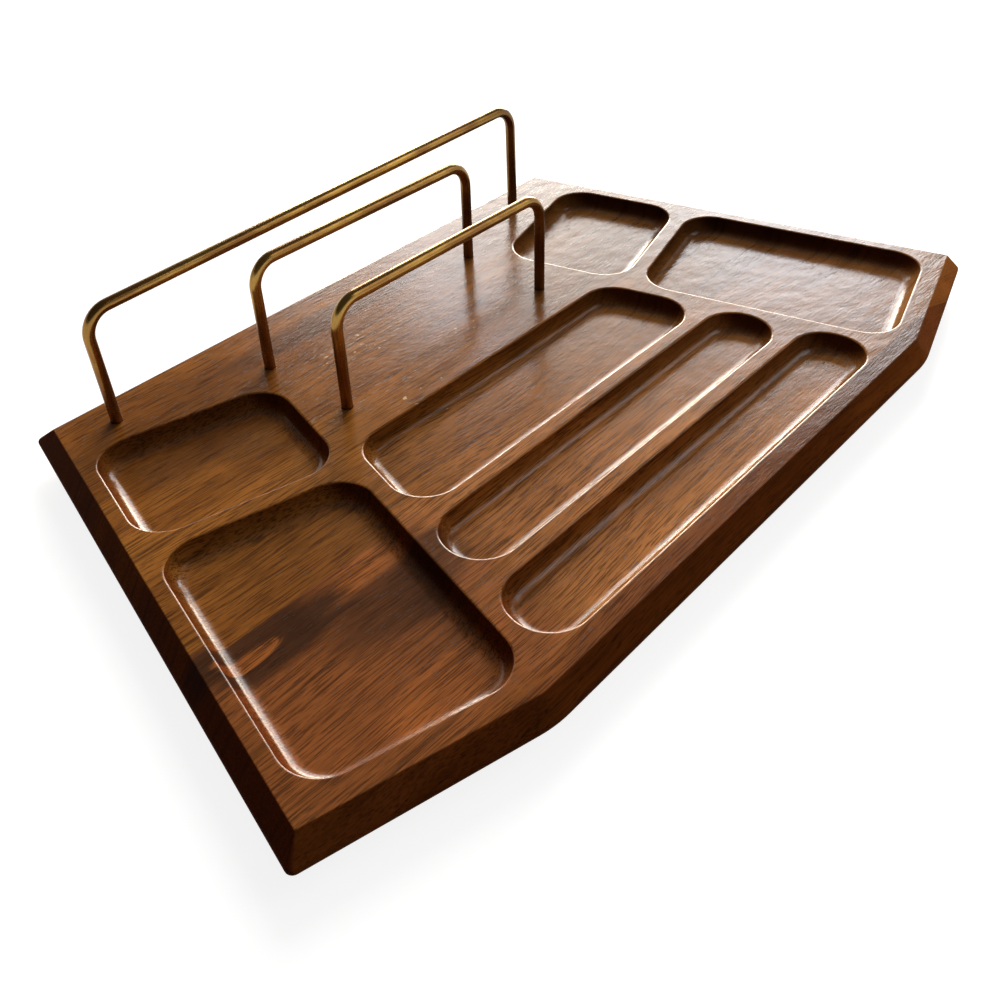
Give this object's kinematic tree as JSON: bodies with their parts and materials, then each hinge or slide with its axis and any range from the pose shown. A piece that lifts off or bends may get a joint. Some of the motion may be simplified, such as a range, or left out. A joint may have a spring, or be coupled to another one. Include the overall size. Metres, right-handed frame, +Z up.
{
  "type": "desk caddy",
  "caption": "Walnut desk caddy with routed trays on angled wings, pen slots between them and a letter rack of bent brass rods at the back.",
  "frame": {"origin": "middle of the footprint, on the plane that the bumpers stand on", "axes": "+X along the board from the left wing to the right wing, +Y from the front edge to the letter rack, +Z up"},
  "size_m": [0.4434, 0.2596, 0.0794],
  "materials": {
    "walnut_rear": "satin lacquer over striped walnut",
    "walnut_middle": "satin lacquer over red-brown walnut",
    "walnut_front": "satin lacquer over dark walnut",
    "brass": "aged, satin",
    "rubber": "matt black"
  },
  "bodies": {
    "root": {"rear_stave": "walnut_rear", "middle_stave": "walnut_middle", "front_stave": "walnut_front", "rear_rail": "brass", "middle_rail": "brass", "front_rail": "brass", "rear_left_foot": "rubber", "rear_right_foot": "rubber", "front_left_foot": "rubber", "front_right_foot": "rubber"}
  },
  "joints": []
}
